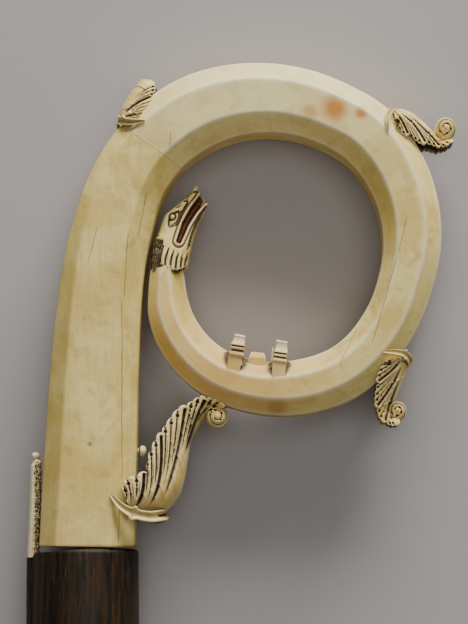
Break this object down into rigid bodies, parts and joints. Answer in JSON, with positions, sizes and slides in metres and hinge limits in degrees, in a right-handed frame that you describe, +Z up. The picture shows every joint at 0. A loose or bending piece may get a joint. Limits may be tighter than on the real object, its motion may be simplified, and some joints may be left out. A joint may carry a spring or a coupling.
{
  "type": "crosier head",
  "caption": "Carved ivory crosier head laid on its back: an eight-sided crook coiled into a ring that ends in a serpent's head, with acanthus crockets, on the end of a dark wooden staff.",
  "frame": {"origin": "on the surface that the part lies on, under the middle of its box", "axes": "+X across the crook, away from the shank; +Y from the staff up to the top of the ring; +Z up, out of the front face"},
  "size_m": [0.154, 0.2244, 0.0389],
  "materials": {
    "ivory": "old ivory, cream to olive brown by facet, satin, with fine cracks and brown stains",
    "carved_ivory": "old carved ivory, pale on the ridges and brown in the grooves, satin",
    "broken_ivory": "old ivory broken away to a brown pitted face, matt",
    "dark_wood": "polished dark hardwood with brown streaks along the grain, semi-gloss"
  },
  "bodies": {
    "root": {"staff_stub": "dark_wood", "shank": "ivory", "volute": "ivory", "crocket_upper_left": "carved_ivory", "crocket_upper_right": "carved_ivory", "crocket_lower_right": "carved_ivory", "bracket_leaf": "carved_ivory", "side_strip": "broken_ivory", "peg_bead": "carved_ivory"}
  },
  "joints": []
}
